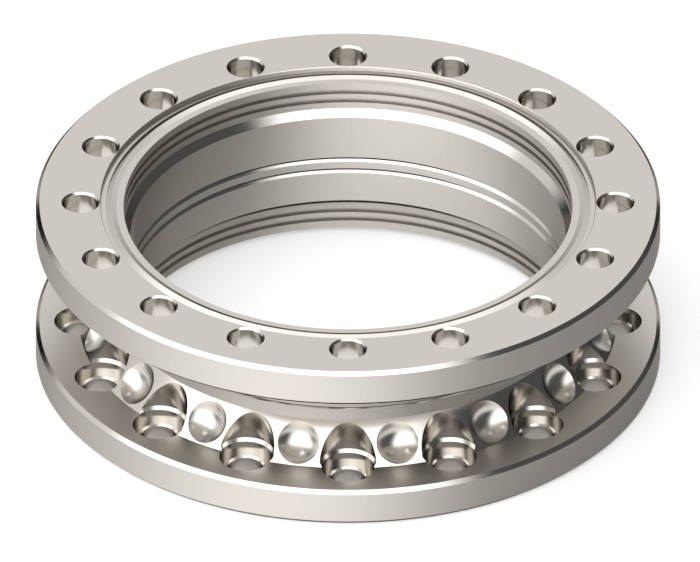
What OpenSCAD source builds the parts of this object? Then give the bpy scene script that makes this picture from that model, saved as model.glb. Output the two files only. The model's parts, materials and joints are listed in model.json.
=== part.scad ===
// Close coupler: two thin knife-edge vacuum flanges joined by a short neck.
// It is turned, drilled and milled from one piece of stainless steel, so it is one solid.
// Millimetres, +Z up. The origin is the centre of the bottom face, on the axis.

/* [Flanges] */
// Outer diameter of both flanges
flange_d = 152; // [148:0.5:170]
// Distance between the two outer faces
face_to_face = 44; // [42:0.5:60]
// Thickness of each flange at its rim
flange_t = 9.5; // [8.8:0.1:11]
// Bevel on the four outer edges
rim_bevel = 0.9; // [0.2:0.1:2]

/* [Bolt holes] */
// Distance from the rim in to the bolt circle
rim_to_bolts = 10.9; // [10:0.1:14]
// Number of bolt holes in each flange
bolt_count = 16; // [12:1:18]
// Diameter of the bolt holes
bolt_hole_d = 8.4; // [7:0.1:8.4]
// Bevel at both ends of each bolt hole
bolt_hole_bevel = 0.45; // [0.1:0.05:0.45]
// Diameter of the counterbore that seats the nut
seat_d = 12.8; // [11.5:0.1:13.4]
// Depth of the seat below the flange's inner face
seat_depth = 2.75; // [1:0.05:4]
// Diameter of the pocket cut into the neck above the seat
pocket_d = 14; // [13.6:0.1:15]
// Height of the pocket's lower edge above the flange's inner face
pocket_rise = 0.95; // [0.85:0.05:2]
// Height of the cone that leads from the pocket down to the seat
pocket_lead_h = 0.8; // [0.4:0.05:0.8]

/* [Seal] */
// Distance from the bolt circle in to the wall of the gasket recess
bolts_to_recess = 4.8; // [4.8:0.1:6]
// Depth of the gasket recess
recess_depth = 1.15; // [1:0.05:1.4]
// Edge break round the mouth of the recess
recess_break = 0.1; // [0.05:0.05:0.1]
// Distance from the recess wall in to the tip of the knife edge
recess_to_knife = 2.65; // [2.4:0.05:3.5]
// Distance of the tip below the face
knife_drop = 0.64; // [0.4:0.02:0.8]
// Slope of the two flanks of the knife edge, in degrees
knife_slope = 20; // [18:0.5:26]
// Distance of the flat land inside the knife edge below the face
land_drop = 1.1; // [0.9:0.05:1.4]

/* [Bore] */
// Distance from the tip of the knife edge in to the bore
knife_to_bore = 3; // [2.5:0.05:4]
// Width of the 45 degree shoulders between the end bores and the middle bore
shoulder_w = 1.7; // [0.5:0.05:3]
// Distance of each shoulder from its face
shoulder_drop = 8.3; // [7.6:0.1:10]
// Width of the clip grooves near each end
clip_groove_w = 1.15; // [0.8:0.05:1.4]
// Depth of the clip grooves
clip_groove_depth = 1.1; // [0.5:0.05:1.8]
// Distance of the first clip groove's centre from the face
clip_groove_drop = 3.6; // [3:0.05:3.9]
// Spacing of the two clip grooves
clip_groove_pitch = 2.45; // [2:0.05:2.9]
// Depth of the two V-grooves round the middle of the bore
bore_vee_depth = 0.65; // [0.2:0.05:1]
// Spacing of the two V-grooves
bore_vee_pitch = 3.2; // [2.4:0.1:5]
// Distance of the middle of the two V-grooves below mid-height
bore_vee_offset = 1.75; // [-4:0.05:4]

/* [Neck] */
// Thickness of the neck between the waist and the middle bore
neck_wall = 4.85; // [3:0.05:6]
// Distance from the bolt circle out to the foot of the neck
bolts_to_foot = 0.3; // [-1:0.05:1]
// Slope of the neck's cones, in degrees from the axis
neck_slope = 40.5; // [30:0.5:44]
// Depth of the fine V-groove round the middle of the waist
waist_vee_depth = 0.3; // [0.1:0.05:0.8]

/* [Dimples] */
// Length of each dimple's mouth along the slope of the neck
dimple_d = 10.6; // [6:0.1:11]
// Depth of each dimple below the cone
dimple_depth = 2.4; // [0.6:0.1:3]
// Height of each dimple's centre above the flange's inner face
dimple_rise = 4.3; // [4.1:0.1:6]

/* [Hidden] */
steel = [0.79, 0.78, 0.755];
$fn = 144;

// Overlap that carries each cutter clear of the face it starts from
clear = 1;
mid_h = face_to_face / 2;

// Radii, worked inwards from the rim
rim_r = flange_d / 2;
bolt_circle_r = rim_r - rim_to_bolts;
recess_r = bolt_circle_r - bolts_to_recess;
knife_r = recess_r - recess_to_knife;
end_bore_r = knife_r - knife_to_bore;
mid_bore_r = end_bore_r - shoulder_w;
waist_r = mid_bore_r + neck_wall;
neck_foot_r = bolt_circle_r + bolts_to_foot;

// Corners where the flanks of the knife edge run out
knife_foot_r = knife_r + (recess_depth - knife_drop) / tan(knife_slope);
land_r = knife_r - (land_drop - knife_drop) / tan(knife_slope);

// Height where the cone of the neck runs out into the waist
cone_top = flange_t + (neck_foot_r - waist_r) / tan(neck_slope);

// The ball that cuts a dimple sits outside the cone, on the cone's normal
dimple_r = (pow(dimple_d / 2, 2) + pow(dimple_depth, 2)) / (2 * dimple_depth);
dimple_out = dimple_r - dimple_depth;
dimple_ball_r = neck_foot_r - dimple_rise * tan(neck_slope) + dimple_out * cos(neck_slope);
dimple_ball_h = flange_t + dimple_rise + dimple_out * sin(neck_slope);

// Corners of a square groove in the end bore, centred h from the face
function clip_groove(h) = [
    [end_bore_r, h - clip_groove_w / 2],
    [end_bore_r + clip_groove_depth, h - clip_groove_w / 2],
    [end_bore_r + clip_groove_depth, h + clip_groove_w / 2],
    [end_bore_r, h + clip_groove_w / 2]
];

// Corners of a 90 degree groove of depth d, cut outwards into a bore and listed upwards.
// A negative depth cuts inwards into an outer wall, and the corners are listed downwards.
function vee_groove(r, h, d) = [[r, h - d], [r + d, h], [r, h + d]];

// Section of one end from the rim to the bore, as radius and distance from that end's face
end_face = concat(
    [
        [rim_r, rim_bevel],
        [rim_r - rim_bevel, 0],
        [recess_r + recess_break, 0],
        [recess_r, recess_break],
        [recess_r, recess_depth],
        [knife_foot_r, recess_depth],
        [knife_r, knife_drop],
        [land_r, land_drop],
        [end_bore_r, land_drop]
    ],
    clip_groove(clip_groove_drop),
    clip_groove(clip_groove_drop + clip_groove_pitch),
    [[end_bore_r, shoulder_drop], [mid_bore_r, shoulder_drop + shoulder_w]]
);

// Section of one flange's inner face and its cone, from the waist out to the rim
inner_face = [
    [waist_r, cone_top],
    [neck_foot_r, flange_t],
    [rim_r - rim_bevel, flange_t],
    [rim_r, flange_t - rim_bevel]
];

// Turns a section of the lower end into the same section of the upper end, in reverse order
function upper(points) = [
    for (i = [len(points) - 1 : -1 : 0]) [points[i][0], face_to_face - points[i][1]]
];

vee_mid_h = mid_h - bore_vee_offset;
bore_vees = concat(
    vee_groove(mid_bore_r, vee_mid_h - bore_vee_pitch / 2, bore_vee_depth),
    vee_groove(mid_bore_r, vee_mid_h + bore_vee_pitch / 2, bore_vee_depth)
);

// The whole section, once round: lower end, bore, upper end, then down the outside of the neck
section = concat(
    end_face,
    bore_vees,
    upper(end_face),
    upper(inner_face),
    vee_groove(waist_r, mid_h, -waist_vee_depth),
    inner_face
);

// Everything that is turned on a lathe
module turned_blank() {
    rotate_extrude() polygon(section);
}

// One end of a bolt hole's cutter, from the face to just past mid-height
module bolt_cutter_end() {
    hole_r = bolt_hole_d / 2;
    seat_h = flange_t - seat_depth;
    pocket_h = flange_t + pocket_rise;
    bevel_r = hole_r + bolt_hole_bevel;
    translate([0, 0, -clear]) cylinder(r = hole_r, h = seat_h + 2 * clear);
    translate([0, 0, -clear]) cylinder(r1 = bevel_r + clear, r2 = hole_r, h = bolt_hole_bevel + clear);
    translate([0, 0, seat_h - bolt_hole_bevel])
        cylinder(r1 = hole_r, r2 = bevel_r, h = bolt_hole_bevel);
    translate([0, 0, seat_h]) cylinder(d = seat_d, h = mid_h - seat_h);
    translate([0, 0, pocket_h - pocket_lead_h])
        cylinder(d1 = seat_d, d2 = pocket_d, h = pocket_lead_h);
    translate([0, 0, pocket_h]) cylinder(d = pocket_d, h = mid_h - pocket_h);
}

// Bolt hole, nut seat and pocket of both flanges, on one axis
module bolt_cutter() {
    bolt_cutter_end();
    translate([0, 0, face_to_face]) mirror([0, 0, 1]) bolt_cutter_end();
}

// Ball cuts for the dimples of both cones, one above the other
module dimple_cutter() {
    for (h = [dimple_ball_h, face_to_face - dimple_ball_h])
        translate([dimple_ball_r, 0, h]) sphere(r = dimple_r);
}

// Places its children on the bolt circle's angles, turned by a share of the spacing
module round_the_axis(share) {
    for (i = [0 : bolt_count - 1])
        rotate([0, 0, -90 + (i + share) * 360 / bolt_count]) children();
}

module coupler_body() {
    color(steel) difference() {
        turned_blank();
        round_the_axis(0) translate([bolt_circle_r, 0, 0]) bolt_cutter($fn = 48);
        round_the_axis(0.5) dimple_cutter($fn = 72);
    }
}

coupler_body();
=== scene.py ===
# %% [markdown]
# # A close coupler in turned stainless steel
#
# The object is a spool for vacuum pipework: two thin flanges with a knife edge for a metal gasket,
# joined by a short neck. It is one piece of steel. A lathe made every ring of it, a drill and a
# counterbore made the bolt holes, and a ball-nosed cutter made the dimples in the neck.
#
# The steel is nearly a mirror, so the picture is mostly reflections. Two things decide how good it
# looks: surfaces whose normals are exactly right, and a studio that is pleasant to reflect.

# %% The fixed frame
import json
import math

import bpy
import numpy as np
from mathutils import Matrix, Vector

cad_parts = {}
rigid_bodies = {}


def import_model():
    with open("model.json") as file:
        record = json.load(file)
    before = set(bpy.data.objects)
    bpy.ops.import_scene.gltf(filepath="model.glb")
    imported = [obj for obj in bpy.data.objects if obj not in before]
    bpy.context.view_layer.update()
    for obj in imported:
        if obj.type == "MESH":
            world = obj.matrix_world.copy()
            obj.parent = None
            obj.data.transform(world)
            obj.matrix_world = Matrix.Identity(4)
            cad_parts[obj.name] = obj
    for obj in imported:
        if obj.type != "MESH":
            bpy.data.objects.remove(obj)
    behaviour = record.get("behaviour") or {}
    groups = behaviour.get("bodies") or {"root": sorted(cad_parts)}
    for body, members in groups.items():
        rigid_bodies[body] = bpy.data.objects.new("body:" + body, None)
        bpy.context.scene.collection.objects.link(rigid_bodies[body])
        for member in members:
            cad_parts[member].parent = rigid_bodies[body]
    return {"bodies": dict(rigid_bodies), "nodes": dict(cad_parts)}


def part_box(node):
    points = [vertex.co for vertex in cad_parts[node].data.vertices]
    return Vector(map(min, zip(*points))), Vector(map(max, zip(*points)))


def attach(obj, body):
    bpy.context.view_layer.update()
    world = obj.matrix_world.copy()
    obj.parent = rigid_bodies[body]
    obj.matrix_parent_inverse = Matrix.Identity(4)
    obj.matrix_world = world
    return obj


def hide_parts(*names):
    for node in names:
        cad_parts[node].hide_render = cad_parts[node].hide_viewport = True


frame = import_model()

# Blender's own startup objects would count as part of the object, so they go before it is measured.
scene = bpy.context.scene
from_the_frame = {*frame["nodes"].values(), *frame["bodies"].values()}
for spare in [o for o in scene.objects if o not in from_the_frame]:
    bpy.data.objects.remove(spare)

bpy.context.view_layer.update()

# %% [markdown]
# ## Sizes
#
# Every size is a real one, in millimetres, and `MM` turns it into Blender's metres. They are the
# sizes that a turner would read from the drawing of this part: R is a radius, T a thickness, D a
# diameter, and a drop is a distance below the nearer outer face. The last lines set the two outer
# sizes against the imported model.

# %% Sizes in millimetres
MM = 0.001
RIM_R = 76.0
HEIGHT = 44.0
MID = HEIGHT / 2

FLANGE_T = 9.5
RIM_BEVEL = 0.9
RECESS_R = 60.3
RECESS_DEPTH = 1.15
RECESS_BREAK = 0.1
KNIFE_R = 57.65
KNIFE_DROP = 0.64
KNIFE_SLOPE = math.radians(20)
LAND_DROP = 1.1
END_BORE_R = 54.65
MID_BORE_R = 52.95
SHOULDER_DROP = 8.3
CLIP_GROOVE_W, CLIP_GROOVE_DEPTH = 1.15, 1.1
CLIP_GROOVE_DROPS = (3.6, 6.05)
BORE_VEE_DEPTH = 0.65
BORE_VEE_HEIGHTS = (MID - 3.35, MID - 0.15)
NECK_FOOT_R = 65.4
WAIST_R = 57.8
NECK_SLOPE = math.radians(40.5)
WAIST_VEE_DEPTH = 0.3

BOLTS = 16
BOLT_CIRCLE_R = 65.1
BOLT_HOLE_R = 4.2
BOLT_HOLE_BEVEL = 0.45
SEAT_R = 6.4
SEAT_DEPTH = 2.75
POCKET_R = 7.0
POCKET_RISE = 0.95
POCKET_LEAD = 0.8

DIMPLE_D = 10.6
DIMPLE_DEPTH = 2.4
DIMPLE_RISE = 4.3

low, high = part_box("coupler_body")
print("rim radius %.2f mm, packed %.2f" % (RIM_R, high[0] / MM))
print("height %.2f mm, packed %.2f" % (HEIGHT, (high[2] - low[2]) / MM))

# %% [markdown]
# ## The turned section
#
# A lathe cuts one outline all the way round, so the blank is one closed line of corners, each with a
# radius and a height. Both ends are the same, so the lower end is written once and turned over.

# %% The outline of the blank
def square_groove(radius, height):
    """Four corners of a square groove cut outwards into a bore: two at the wall, two at its floor."""
    floor_radius = radius + CLIP_GROOVE_DEPTH
    bottom, top = height - CLIP_GROOVE_W / 2, height + CLIP_GROOVE_W / 2
    return [(radius, bottom), (floor_radius, bottom), (floor_radius, top), (radius, top)]


def vee_groove(radius, height, depth, side):
    """Three corners of a right-angled groove whose floor is `depth` from the wall, to the given side."""
    return [(radius, height - depth), (radius + side * depth, height), (radius, height + depth)]


def upside_down(corners):
    """The same corners at the other end of the part, listed in reverse so that the line runs on."""
    return [(radius, HEIGHT - height) for radius, height in reversed(corners)]


def blank_outline():
    """All corners of the section: lower end, bore upwards, upper end, then down the neck."""
    knife_foot = KNIFE_R + (RECESS_DEPTH - KNIFE_DROP) / math.tan(KNIFE_SLOPE)
    land_edge = KNIFE_R - (LAND_DROP - KNIFE_DROP) / math.tan(KNIFE_SLOPE)
    end = [
        (RIM_R, RIM_BEVEL),
        (RIM_R - RIM_BEVEL, 0),
        (RECESS_R + RECESS_BREAK, 0),
        (RECESS_R, RECESS_BREAK),
        (RECESS_R, RECESS_DEPTH),
        (knife_foot, RECESS_DEPTH),
        (KNIFE_R, KNIFE_DROP),
        (land_edge, LAND_DROP),
        (END_BORE_R, LAND_DROP),
    ]
    for drop in CLIP_GROOVE_DROPS:
        end += square_groove(END_BORE_R, drop)
    end += [(END_BORE_R, SHOULDER_DROP), (MID_BORE_R, SHOULDER_DROP + END_BORE_R - MID_BORE_R)]
    middle = []
    for height in BORE_VEE_HEIGHTS:
        middle += vee_groove(MID_BORE_R, height, BORE_VEE_DEPTH, 1)
    flange_back = [
        (WAIST_R, FLANGE_T + (NECK_FOOT_R - WAIST_R) / math.tan(NECK_SLOPE)),
        (NECK_FOOT_R, FLANGE_T),
        (RIM_R - RIM_BEVEL, FLANGE_T),
        (RIM_R, FLANGE_T - RIM_BEVEL),
    ]
    waist = vee_groove(WAIST_R, MID, WAIST_VEE_DEPTH, -1)[::-1]
    return np.array(end + middle + upside_down(end) + upside_down(flange_back) + waist + flange_back)


outline = blank_outline()
print("the blank's outline has", len(outline), "corners")

# %% [markdown]
# ## Carrying an outline round an axis
#
# A turned surface has two parameters: the place along the outline and the angle round the axis. The
# grid of points is therefore one outer product, worked out at once for all the points.

# %% The lathe, in numpy
def lathe(corners, steps):
    """Points, four-sided faces and three-sided faces of a surface of revolution about Z.

    A corner (r, h) at angle t becomes (r cos t, r sin t, h). An outline that starts and ends on the
    axis is closed there by a fan of triangles. Any other outline is a closed ring and has none.
    """
    corners = np.asarray(corners, dtype=float)
    on_axis = corners[0, 0] == 0
    ring = corners[1:-1] if on_axis else corners
    count = len(ring)
    angle = np.arange(steps) * 2 * np.pi / steps
    radius, height = ring[:, 0, None], ring[:, 1, None]
    points = np.stack([radius * np.cos(angle), radius * np.sin(angle), height + 0 * angle], axis=2)
    points = points.reshape(-1, 3)
    here = np.arange(count)[:, None] * steps + np.arange(steps)
    after = np.roll(here, -1, axis=1)
    rows = slice(0, count - 1) if on_axis else slice(0, count)
    up, up_after = np.roll(here, -1, axis=0), np.roll(after, -1, axis=0)
    around = [here[rows], after[rows], up_after[rows], up[rows]]
    quads = np.stack(around, axis=2).reshape(-1, 4)
    fans = np.empty((0, 3), dtype=int)
    if on_axis:
        first, last = len(points), len(points) + 1
        points = np.vstack([points, [[0, 0, corners[0, 1]], [0, 0, corners[-1, 1]]]])
        first_fan = np.stack([after[0], here[0], np.full(steps, first)], axis=1)
        last_fan = np.stack([here[-1], after[-1], np.full(steps, last)], axis=1)
        fans = np.vstack([first_fan, last_fan])
    return points, quads, fans


ROUND_STEPS = 432
turned = lathe(outline, ROUND_STEPS)
print("the turned surface has", len(turned[0]), "points")

# %% [markdown]
# ## Closed meshes
#
# A cut needs to know which side of a surface is metal, and takes it from the side that the faces are
# seen from. A closed mesh with its faces the wrong way round has a negative volume, so the volume is
# worked out first and such a mesh is turned.

# %% A mesh from its points and faces
def volume(points, quads, fans):
    """Signed volume of a closed mesh: the sum of the tetrahedra from the origin to each triangle."""
    triangles = np.vstack([quads[:, [0, 1, 2]], quads[:, [0, 2, 3]], fans])
    a, b, c = (points[triangles[:, k]] for k in range(3))
    return np.einsum("ij,ij->i", a, np.cross(b, c)).sum() / 6


def mesh_object(name, points, quads, fans):
    """A mesh object at the origin whose faces point outwards. The points are in millimetres."""
    if volume(points, quads, fans) < 0:
        quads, fans = quads[:, ::-1], fans[:, ::-1]
    mesh = bpy.data.meshes.new(name)
    mesh.from_pydata((points * MM).tolist(), [], quads.tolist() + fans.tolist())
    piece = bpy.data.objects.new(name, mesh)
    scene.collection.objects.link(piece)
    return piece


blank = mesh_object("coupler", *turned)
print("the blank has", len(blank.data.polygons), "faces")

# %% [markdown]
# ## Bolt holes, nut seats and pockets
#
# A drill and a counterbore leave surfaces of revolution about the bolt's axis, so the cutter is a
# turned shape as well. One closed outline runs through both flanges: bevel, hole, bevel, flat seat for
# the nut, a short cone, and the pocket that clears the neck.

# %% The bolt cutter's outline
OVERSHOOT = 1.0


def bolt_outline():
    """Corners of one bolt's cutter, from below the lower face to above the upper one."""
    bevel_r = BOLT_HOLE_R + BOLT_HOLE_BEVEL
    seat, pocket = FLANGE_T - SEAT_DEPTH, FLANGE_T + POCKET_RISE
    lower = [
        (0, -OVERSHOOT),
        (bevel_r + OVERSHOOT, -OVERSHOOT),
        (BOLT_HOLE_R, BOLT_HOLE_BEVEL),
        (BOLT_HOLE_R, seat - BOLT_HOLE_BEVEL),
        (bevel_r, seat),
        (SEAT_R, seat),
        (SEAT_R, pocket - POCKET_LEAD),
        (POCKET_R, pocket),
    ]
    return lower + upside_down(lower)


print("the bolt cutter's outline has", len(bolt_outline()), "corners")

# %% [markdown]
# ## One cutter, sixteen times
#
# A dividing head turns the real part by the same angle between two holes. Here the cutter is copied
# instead, by one matrix for each angle. All the copies are one mesh, so one cut makes all the holes.

# %% The bolt cutters
def copies(points, quads, fans, matrices, moves):
    """The same mesh many times over: copy k is turned by matrix k, then moved by move k."""
    many = np.einsum("kij,nj->kni", matrices, points) + np.asarray(moves)[:, None, :]
    shifts = (np.arange(len(matrices)) * len(points))[:, None, None]
    return many.reshape(-1, 3), (quads + shifts).reshape(-1, 4), (fans + shifts).reshape(-1, 3)


def about_z(angle):
    """Rotation matrices about Z, one for each angle of an array."""
    cos, sin, zero, one = np.cos(angle), np.sin(angle), 0 * angle, 0 * angle + 1
    rows = [[cos, -sin, zero], [sin, cos, zero], [zero, zero, one]]
    return np.moveaxis(np.array(rows), 2, 0)


BOLT_STEPS = 72
FIRST_ANGLE = -math.pi / 2
bolt_angles = FIRST_ANGLE + np.arange(BOLTS) * 2 * np.pi / BOLTS
bolt_axes = BOLT_CIRCLE_R * np.stack([np.cos(bolt_angles), np.sin(bolt_angles), 0 * bolt_angles], -1)
one_drill = lathe(bolt_outline(), BOLT_STEPS)
drill = mesh_object("drill", *copies(*one_drill, about_z(bolt_angles), bolt_axes))
print(BOLTS, "bolt cutters with", len(drill.data.polygons), "faces")

# %% [markdown]
# ## Dimples
#
# Between the pockets a ball-nosed cutter has dipped into each cone, square to it. The centre of the
# ball is out in the air on the cone's normal, so only a shallow cap of the ball cuts steel. The cutter
# is that cap, closed by a flat disc that stays clear of the metal.

# %% The ball cutter's cap
ball_r = ((DIMPLE_D / 2) ** 2 + DIMPLE_DEPTH**2) / (2 * DIMPLE_DEPTH)
ball_out = ball_r - DIMPLE_DEPTH
ball_circle_r = NECK_FOOT_R - DIMPLE_RISE * math.tan(NECK_SLOPE) + ball_out * math.cos(NECK_SLOPE)
ball_height = FLANGE_T + DIMPLE_RISE + ball_out * math.sin(NECK_SLOPE)
print("the ball cutter has a radius of %.2f mm" % ball_r)


def cap_outline(reach, rings):
    """A ball's cap about Z: at angle a from its pole, the lowest point, a corner is (r sin a, -r cos a).

    The angle goes from 0 to `reach` radians, and a flat disc closes the cap.
    """
    angle = np.linspace(0, reach, rings)
    arc = np.stack([ball_r * np.sin(angle), -ball_r * np.cos(angle)], -1)
    return np.vstack([arc, [[0, arc[-1, 1]]]])


DISC_CLEARANCE = 1.2
CAP_REACH = math.acos((ball_out - DISC_CLEARANCE) / ball_r)
CAP_RINGS, CAP_STEPS = 16, 72
cap_points, cap_quads, cap_fans = lathe(cap_outline(CAP_REACH, CAP_RINGS), CAP_STEPS)
print("one cap has", len(cap_points), "points")

# %% [markdown]
# ## Dimples in both cones
#
# The cap is made standing on its pole. It tips outwards until the pole faces along the cone's normal,
# into the metal, and moves out to the ball's place. The upper cone's cap is its mirror image.

# %% The ball cutters
tip = math.pi / 2 - NECK_SLOPE
cos_tip, sin_tip = math.cos(tip), math.sin(tip)
tip_matrix = np.array([[cos_tip, 0, sin_tip], [0, 1, 0], [-sin_tip, 0, cos_tip]])
lower_cap = cap_points @ tip_matrix.T + [ball_circle_r, 0, ball_height]
upper_cap = lower_cap * [1, 1, -1] + [0, 0, HEIGHT]

# A mirror turns a surface inside out, so the upper cap's faces are listed the other way round.
both_caps = (
    np.vstack([lower_cap, upper_cap]),
    np.vstack([cap_quads, cap_quads[:, ::-1] + len(lower_cap)]),
    np.vstack([cap_fans, cap_fans[:, ::-1] + len(lower_cap)]),
)
dimple_angles = bolt_angles + np.pi / BOLTS
ball = mesh_object("ball", *copies(*both_caps, about_z(dimple_angles), np.zeros((BOLTS, 3))))
print(2 * BOLTS, "ball cutters with", len(ball.data.polygons), "faces")

# %% [markdown]
# ## Cutting
#
# Each cutter is taken away from the blank with a Boolean modifier, which is then applied. The faces
# that a cutter leaves keep its material number, so 0 is turned steel, 1 is drilled and 2 is ball-cut.
# The last two materials are given out later, to the level and the sloping faces of the turned blank.

# %% Materials by number, then the cuts
def cut(piece, cutter):
    """Takes a closed mesh away from the piece, applies the cut and deletes the cutter."""
    boolean = piece.modifiers.new("cut", "BOOLEAN")
    boolean.operation = "DIFFERENCE"
    boolean.solver = "EXACT"
    boolean.object = cutter
    depsgraph = bpy.context.evaluated_depsgraph_get()
    result = bpy.data.meshes.new_from_object(piece.evaluated_get(depsgraph))
    piece.modifiers.clear()
    piece.data = result
    bpy.data.objects.remove(cutter)


FINISHES = ("turned_steel", "drilled_steel", "ball_cut_steel", "faced_steel", "skimmed_steel")
finishes = [bpy.data.materials.new(name) for name in FINISHES]
for number, piece in enumerate((blank, drill, ball)):
    for material in finishes:
        piece.data.materials.append(material)
    piece.data.polygons.foreach_set("material_index", [number] * len(piece.data.polygons))

cut(blank, drill)
cut(blank, ball)
coupler = blank
print("after the cuts:", len(coupler.data.polygons), "faces,", len(coupler.data.vertices), "points")

# %% [markdown]
# ## Exact normals
#
# A mirror shows every error in a normal, and the cuts have left long thin faces whose own normals
# can't be trusted. So no normal is worked out from the mesh. Each face belongs to one straight edge
# of an outline that was carried round an axis, or to a ball. The normal at each of its corners is then
# known exactly: square to that edge and turned to the corner's own angle, or towards the ball.
#
# First the cut mesh is read into arrays, one row for each face or for each corner of each face.

# %% The mesh as arrays
mesh = coupler.data
face_count, corner_count = len(mesh.polygons), len(mesh.loops)
face_centres = np.empty(face_count * 3)
mesh.polygons.foreach_get("center", face_centres)
face_centres = face_centres.reshape(-1, 3) / MM
face_kinds = np.empty(face_count, dtype=int)
mesh.polygons.foreach_get("material_index", face_kinds)
face_sizes = np.empty(face_count, dtype=int)
mesh.polygons.foreach_get("loop_total", face_sizes)
face_of_corner = np.repeat(np.arange(face_count), face_sizes)
point_of_corner = np.empty(corner_count, dtype=int)
mesh.loops.foreach_get("vertex_index", point_of_corner)
mesh_points = np.empty(len(mesh.vertices) * 3)
mesh.vertices.foreach_get("co", mesh_points)
corner_points = mesh_points.reshape(-1, 3)[point_of_corner] / MM
print(face_count, "faces with", corner_count, "corners")

# %% [markdown]
# ## Which edge made each face
#
# In terms of radius and height, the middle of a face lies within a hair of the outline's edge that it
# comes from: only the flatness of the face moves it off. So the nearest edge is the right one, and it
# is found for all the faces at once.

# %% Edges and their normals
TINY = 1e-12


def nearest_edge(corners, places):
    """For each place (r, h): the number of the outline's edge that it is nearest to.

    The nearest point of an edge is its start plus a share of the edge. The share is a dot product, the
    place from the start with the edge, over the edge's length squared, and is kept between 0 and 1.
    """
    start, end = corners, np.roll(corners, -1, axis=0)
    along = end - start
    length_squared = np.maximum((along**2).sum(1), TINY)
    share = np.einsum("pek,ek->pe", places[:, None] - start[None], along) / length_squared
    foot = start[None] + np.clip(share, 0, 1)[..., None] * along[None]
    return np.argmin(((places[:, None] - foot) ** 2).sum(2), axis=1)


def edge_normals(corners, outwards):
    """The normal of each edge of a closed outline, away from its inside or, for a cutter, into it.

    An edge (a, b) turned by a right angle is (b, -a). Twice the outline's area is a sum of cross
    products, and its sign says whether that points out of the outline or into it.
    """
    after = np.roll(corners, -1, axis=0)
    along = after - corners
    twice_area = (corners[:, 0] * after[:, 1] - after[:, 0] * corners[:, 1]).sum()
    side = np.sign(twice_area) if outwards else -np.sign(twice_area)
    normal = side * np.stack([along[:, 1], -along[:, 0]], 1)
    return normal / np.maximum(np.linalg.norm(normal, axis=1, keepdims=True), TINY)


def radius_and_height(points, axes):
    """The distance from an upright axis, and the height, of each point."""
    return np.stack([np.hypot(points[:, 0] - axes[:, 0], points[:, 1] - axes[:, 1]), points[:, 2]], 1)


def nearest_of(points, places):
    """For each place, the nearest of a few points."""
    return points[np.argmin(((places[:, None] - points[None]) ** 2).sum(2), axis=1)]


def edges_of(kind, corners, axes):
    """For each face of one kind: the number of the outline's edge that it comes from. Others get 0."""
    faces = face_kinds == kind
    edges = np.zeros(face_count, dtype=int)
    edges[faces] = nearest_edge(corners, radius_and_height(face_centres[faces], axes[faces]))
    return edges


TURNED, DRILLED, BALL_CUT = range(3)
lathe_axes = np.zeros((face_count, 3))
lathe_edges = edges_of(TURNED, outline, lathe_axes)
lathe_normals = edge_normals(outline, True)[lathe_edges]

drill_corners = np.array(bolt_outline())
drill_axes = nearest_of(bolt_axes, face_centres * [1, 1, 0])
drill_edges = edges_of(DRILLED, drill_corners, drill_axes)
drill_normals = edge_normals(drill_corners, False)[drill_edges]
print("edges found:", len(np.unique(lathe_edges)), "turned,", len(np.unique(drill_edges)), "drilled")

# %% [markdown]
# ## Normals at the corners
#
# An edge's normal has a part along the radius and a part along the axis. At each corner of a face the
# first part is turned to the corner's own angle round the axis. In a dimple the normal points to the
# centre of the ball. The last line counts the corners where this is far from the flat face's normal,
# which only happens on slivers.

# %% A normal for every corner of every face
def turned_normals(kind, normal_of_face, axes):
    """Sets the normals of one kind of face, from the radius and height parts of the faces' normals."""
    here = (face_kinds == kind)[face_of_corner]
    owner = face_of_corner[here]
    away = corner_points[here, :2] - axes[owner, :2]
    away /= np.maximum(np.linalg.norm(away, axis=1, keepdims=True), TINY)
    corner_normals[here, :2] = away * normal_of_face[owner, :1]
    corner_normals[here, 2] = normal_of_face[owner, 1]


corner_normals = np.zeros((corner_count, 3))
turned_normals(TURNED, lathe_normals, lathe_axes)
turned_normals(DRILLED, drill_normals, drill_axes)

ball_spots = ball_circle_r * np.stack([np.cos(dimple_angles), np.sin(dimple_angles)], 1)
ball_heights = (ball_height, HEIGHT - ball_height)
ball_centres = np.vstack([np.column_stack([ball_spots, np.full(BOLTS, h)]) for h in ball_heights])
in_dimple = (face_kinds == BALL_CUT)[face_of_corner]
towards = nearest_of(ball_centres, face_centres)[face_of_corner[in_dimple]] - corner_points[in_dimple]
corner_normals[in_dimple] = towards / np.linalg.norm(towards, axis=1, keepdims=True)

mesh.polygons.foreach_set("use_smooth", [True] * face_count)
mesh.normals_split_custom_set(corner_normals.tolist())
flat_normals = np.empty(face_count * 3)
mesh.polygons.foreach_get("normal", flat_normals)
agreement = np.einsum("ij,ij->i", flat_normals.reshape(-1, 3)[face_of_corner], corner_normals)
far_off = agreement < math.cos(math.radians(30))
print("corners whose normal is over 30 degrees from the face's own:", int(far_off.sum()))

# %% [markdown]
# ## The path of the tool
#
# A UV map named "tool_path" follows the cutter, in metres: u runs round the axis with the cut, and v
# goes across it, from one turn of the feed to the next. The turned walls take the direction of their
# marks from it. The holes have it too, so that they could be given marks. In the dimples, where a ball
# leaves no direction, it stays at zero.

# %% The UV map
def path_lengths(corners):
    """The distance along a closed outline at which each of its edges starts."""
    return np.concatenate([[0], np.cumsum(np.linalg.norm(np.diff(corners, axis=0), axis=1))])


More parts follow.
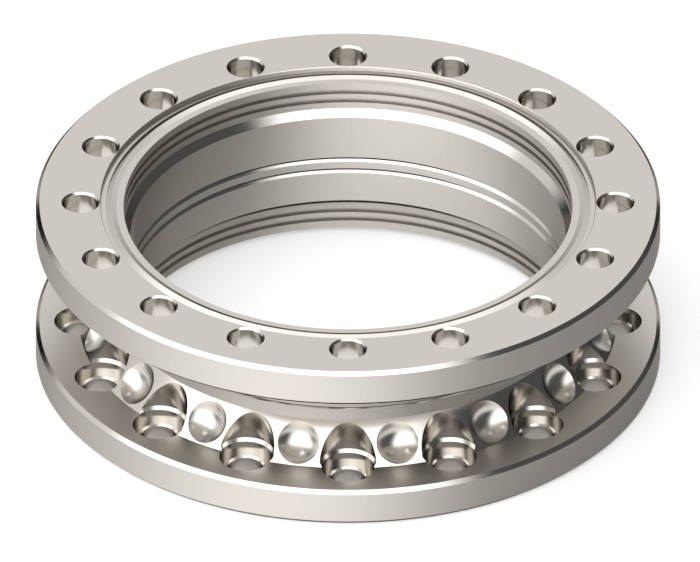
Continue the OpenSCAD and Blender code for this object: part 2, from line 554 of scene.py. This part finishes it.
def unroll(kind, corners, edges, axes, radius):
    """Sets the tool path of one kind of face: angle times a radius, and distance along the outline."""
    here = (face_kinds == kind)[face_of_corner]
    owner = face_of_corner[here]
    edge = edges[owner]
    start = corners[edge]
    along = np.roll(corners, -1, axis=0)[edge] - start
    along /= np.maximum(np.linalg.norm(along, axis=1, keepdims=True), TINY)
    place = radius_and_height(corner_points[here], axes[owner])
    across = path_lengths(corners)[edge] + ((place - start) * along).sum(1)
    spokes = corner_points[here] - axes[owner]
    middles = face_centres[owner] - axes[owner]
    middle_angle = np.arctan2(middles[:, 1], middles[:, 0])
    angle = np.arctan2(spokes[:, 1], spokes[:, 0])
    angle = middle_angle + (angle - middle_angle + np.pi) % (2 * np.pi) - np.pi
    tool_path[here] = np.stack([angle * radius, across], 1) * MM


tool_path = np.zeros((corner_count, 2))
unroll(TURNED, outline, lathe_edges, lathe_axes, BOLT_CIRCLE_R)
unroll(DRILLED, drill_corners, drill_edges, drill_axes, BOLT_HOLE_R)
uv_map = mesh.uv_layers.new(name="tool_path")
uv_map.data.foreach_set("uv", tool_path.ravel())
print("the tool path runs %.0f mm across the lathe's work" % (tool_path[:, 1].max() / MM))

# %% [markdown]
# ## Walls, faces and slopes
#
# The lathe's work gets three finishes. Upright walls, such as the rims and the bore, are cut along the
# axis and keep the marks of the feed. Level faces are faced off more finely, because gaskets and other
# flanges sit on them. Slopes, such as the cones and bevels, are skimmed last and are the brightest.

# %% Finish by slope
FACED, SKIMMED = 3, 4
on_the_lathe = face_kinds == TURNED
outwards = lathe_normals[:, 0]
level, upright = np.abs(outwards) < 0.01, np.abs(outwards) > 0.99
finish_of_face = face_kinds.copy()
finish_of_face[on_the_lathe & level] = FACED
finish_of_face[on_the_lathe & ~level & ~upright] = SKIMMED
mesh.polygons.foreach_set("material_index", finish_of_face)
print("faces of each finish:", dict(zip(FINISHES, np.bincount(finish_of_face).tolist())))

# %% [markdown]
# ## Colours and nodes
#
# A colour picker shows sRGB values, but a shader works with linear ones, so one function turns hex
# values into linear ones. Another adds a node with its settings and links, so that a material reads as
# a short list.

# %% Helpers for materials
def linear(hex_colour):
    """A colour picked in sRGB, such as "#CAC6C0", as the linear values that the shader wants."""
    parts = [int(hex_colour[i : i + 2], 16) / 255 for i in (1, 3, 5)]
    return [c / 12.92 if c <= 0.04045 else ((c + 0.055) / 1.055) ** 2.4 for c in parts] + [1]


def add_node(tree, kind, settings=(), values=(), links=()):
    """Adds a node: its settings, the values of its sockets, then links from other nodes' outputs."""
    node = tree.nodes.new(kind)
    for name, value in dict(settings).items():
        setattr(node, name, value)
    for name, value in dict(values).items():
        node.inputs[name].default_value = value
    for name, source in dict(links).items():
        tree.links.new(source, node.inputs[name])
    return node


print("sRGB #808080 is", round(linear("#808080")[0], 3), "in linear light")

# %% [markdown]
# ## Steel
#
# Such a flange is austenitic stainless steel, 304 or 316. All five finishes are this one metal. It is
# fully metallic, so its base colour tints what it reflects, and a dark edge tint makes it reflect less
# at a glancing angle. What differs is the roughness. On the turned walls it is also uneven: fine rings
# run round the wall, and they spread a reflection far up and down but hardly sideways. The Tangent
# node reads their direction from the tool path.

# %% Materials
STEEL = linear("#CAC6C0")
EDGE_TINT = linear("#262522")
QUARTER_TURN = 0.25


def steel(material, roughness, uneven=0):
    """Bright steel. `uneven`, from 0 to 1, spreads reflections at right angles to the tool's path."""
    material.use_nodes = True
    tree = material.node_tree
    tree.nodes.clear()
    look = {"Base Color": STEEL, "Specular Tint": EDGE_TINT, "Metallic": 1, "Roughness": roughness}
    shader = add_node(tree, "ShaderNodeBsdfPrincipled", values=look)
    add_node(tree, "ShaderNodeOutputMaterial", links={"Surface": shader.outputs["BSDF"]})
    if uneven:
        path = add_node(tree, "ShaderNodeTangent", {"direction_type": "UV_MAP", "uv_map": "tool_path"})
        shader.inputs["Anisotropic"].default_value = uneven
        shader.inputs["Anisotropic Rotation"].default_value = QUARTER_TURN
        tree.links.new(path.outputs["Tangent"], shader.inputs["Tangent"])


turned_steel, drilled_steel, ball_cut_steel, faced_steel, skimmed_steel = finishes
# Rims and bore: soft upright bands of light and dark, with no clear reflection
steel(turned_steel, roughness=0.65, uneven=0.9)
# Flange faces: an even satin sheen
steel(faced_steel, roughness=0.3)
# Cones, bevels and the knife edge: crisp bright lines
steel(skimmed_steel, roughness=0.14)
# Holes, nut seats and pockets: clear reflections of each other, with strong lights and darks
steel(drilled_steel, roughness=0.18)
# Dimples: small round mirrors, a little soft, each with its own bright spot
steel(ball_cut_steel, roughness=0.26)
print(len(finishes), "finishes of one steel")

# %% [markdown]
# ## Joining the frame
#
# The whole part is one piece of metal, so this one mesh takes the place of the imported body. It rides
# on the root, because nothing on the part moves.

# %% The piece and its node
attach(coupler, "root")
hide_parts("coupler_body")
print("piece", coupler.name, "stands for coupler_body")

# %% [markdown]
# ## Camera
#
# The photograph shows hardly any perspective: both flanges are equally wide in it. So the camera is
# orthographic. The shape of the rim's ellipse gives the elevation, 33.2 degrees, because a circle seen
# from that height is squeezed by its sine. The flange's diameter gives the width of the picture.

# %% Camera
ELEVATION = math.radians(33.2)
PICTURE_WIDTH = 170.36
CAMERA_DISTANCE = 600
# How far the middle of the picture is from the middle of the part, in millimetres as the camera sees it
AIM_RIGHT, AIM_UP = 0.487, -0.718

camera_data = bpy.data.cameras.new("camera")
camera_data.type = "ORTHO"
camera_data.ortho_scale = PICTURE_WIDTH * MM
camera = bpy.data.objects.new("camera", camera_data)
scene.collection.objects.link(camera)
scene.camera = camera
to_camera = np.array([0, -math.cos(ELEVATION), math.sin(ELEVATION)])
right, up = np.array([1, 0, 0]), np.array([0, math.sin(ELEVATION), math.cos(ELEVATION)])
aim = np.array([0, 0, MID]) + AIM_RIGHT * right + AIM_UP * up
camera.location = (aim + CAMERA_DISTANCE * to_camera) * MM
camera.rotation_euler = (math.pi / 2 - ELEVATION, 0, 0)
print("a circle looks %.3f as high as it is wide" % math.sin(ELEVATION))

# %% [markdown]
# ## Floor
#
# The part stands on a large sheet of white card, a hair below its bottom face so that the two don't
# share a plane.

# %% Floor
FLOOR_HALF, FLOOR_GAP = 3000, 0.05


def flat_sheet(name, half, height):
    """A square sheet that faces up. The sizes are in millimetres."""
    signs = np.array([(-1, -1), (1, -1), (1, 1), (-1, 1)])
    corners = np.column_stack([half * signs, np.full(4, height)])
    sheet = bpy.data.meshes.new(name)
    sheet.from_pydata((corners * MM).tolist(), [], [(0, 1, 2, 3)])
    piece = bpy.data.objects.new(name, sheet)
    scene.collection.objects.link(piece)
    return piece


floor = flat_sheet("floor", FLOOR_HALF, -FLOOR_GAP)
print("floor: %.0f m across" % (2 * FLOOR_HALF * MM))

# %% [markdown]
# ## White card
#
# The photograph's ground is plain white. More light would wash out the steel, so the card is lifted
# towards white instead, by a share of even white mixed into its matt surface. The Light Path node keeps
# that share to what the camera sees, directly or in metal or glass. The card still takes the part's
# shadow.

# %% The card's material
CARD = linear("#EFEFEF")
CARD_LIFT = 0.4
white_card = bpy.data.materials.new("white_card")
white_card.use_nodes = True
card = white_card.node_tree
card.nodes.clear()
matt = add_node(card, "ShaderNodeBsdfDiffuse", values={"Color": CARD})
white = add_node(card, "ShaderNodeEmission", values={"Color": (1, 1, 1, 1), "Strength": 1})
light_path = add_node(card, "ShaderNodeLightPath")
seen = light_path.outputs["Is Camera Ray"]
for kind in ("Is Glossy Ray", "Is Transmission Ray"):
    rays = {0: seen, 1: light_path.outputs[kind]}
    either = add_node(card, "ShaderNodeMath", {"operation": "MAXIMUM"}, links=rays)
    seen = either.outputs["Value"]
lift = add_node(card, "ShaderNodeMath", {"operation": "MULTIPLY"}, {1: CARD_LIFT}, {0: seen})
parts = {"Fac": lift.outputs["Value"], 1: matt.outputs["BSDF"], 2: white.outputs["Emission"]}
lifted = add_node(card, "ShaderNodeMixShader", links=parts)
add_node(card, "ShaderNodeOutputMaterial", links={"Surface": lifted.outputs["Shader"]})
floor.data.materials.append(white_card)
print("the card is lifted by", CARD_LIFT)

# %% [markdown]
# ## Light
#
# Polished metal looks like whatever is around it, so the studio matters more than the material. It is
# drawn in the world as a few big soft lights on a dark ground. A ray's direction is compared with the
# middle of each light by a dot product, and the light fades smoothly between two angles from there.
#
# The key light stands in front, high and a little to the left. It gives the rims and the bore a bright
# side and a dark side, and the slopes that face it turn white. The low light carries it on down to the
# floor, where the tops of the dimples look, and the edge light draws the bevels on the far left. The
# level faces reflect the back light, and the flanks of the knife edge reflect the top light. A faint
# fill on the right keeps the dark side from going black.

# %% World
def direction(azimuth, elevation):
    """A unit vector: azimuth in degrees to the left of the camera's side, elevation in degrees."""
    turn, climb = math.radians(azimuth), math.radians(elevation)
    return (-math.sin(turn) * math.cos(climb), -math.cos(turn) * math.cos(climb), math.sin(climb))


# Each light: azimuth and elevation of its middle, half-angle of its full part, half-angle where it
# ends, all in degrees, and its strength. At a strength of 1, steel shows its own colour.
SOFT_LIGHTS = {
    "key": (28, 48, 32, 58, 2.6),
    "low": (18, 0, 15, 45, 1.2),
    "edge": (105, 34, 15, 38, 1.0),
    "back": (180, 33, 15, 45, 1.0),
    "top": (165, 76, 15, 40, 1.4),
    "fill": (-100, 32, 25, 60, 0.1),
}

world = bpy.data.worlds.new("studio")
scene.world = world
world.use_nodes = True
studio = world.node_tree
studio.nodes.clear()
ray = add_node(studio, "ShaderNodeTexCoord")
glows = []
for azimuth, elevation, inner, outer, strength in SOFT_LIGHTS.values():
    nearness = add_node(
        studio,
        "ShaderNodeVectorMath",
        {"operation": "DOT_PRODUCT"},
        {1: direction(azimuth, elevation)},
        {0: ray.outputs["Generated"]},
    )
    soft_edge = add_node(
        studio,
        "ShaderNodeMapRange",
        {"interpolation_type": "SMOOTHSTEP"},
        {
            "From Min": math.cos(math.radians(outer)),
            "From Max": math.cos(math.radians(inner)),
            "To Max": strength,
        },
        {"Value": nearness.outputs["Value"]},
    )
    glows.append(soft_edge.outputs["Result"])

brightness = glows[0]
for glow in glows[1:]:
    both = add_node(studio, "ShaderNodeMath", {"operation": "ADD"}, links={0: brightness, 1: glow})
    brightness = both.outputs["Value"]
sky = add_node(studio, "ShaderNodeBackground", values={"Color": (1, 1, 1, 1)})
studio.links.new(brightness, sky.inputs["Strength"])
add_node(studio, "ShaderNodeOutputWorld", links={"Surface": sky.outputs["Background"]})
print(len(glows), "soft lights")

# %% [markdown]
# ## Picture
#
# The Standard view shows colours as they are, with no filmic curve over them.

# %% View
scene.view_settings.view_transform = "Standard"
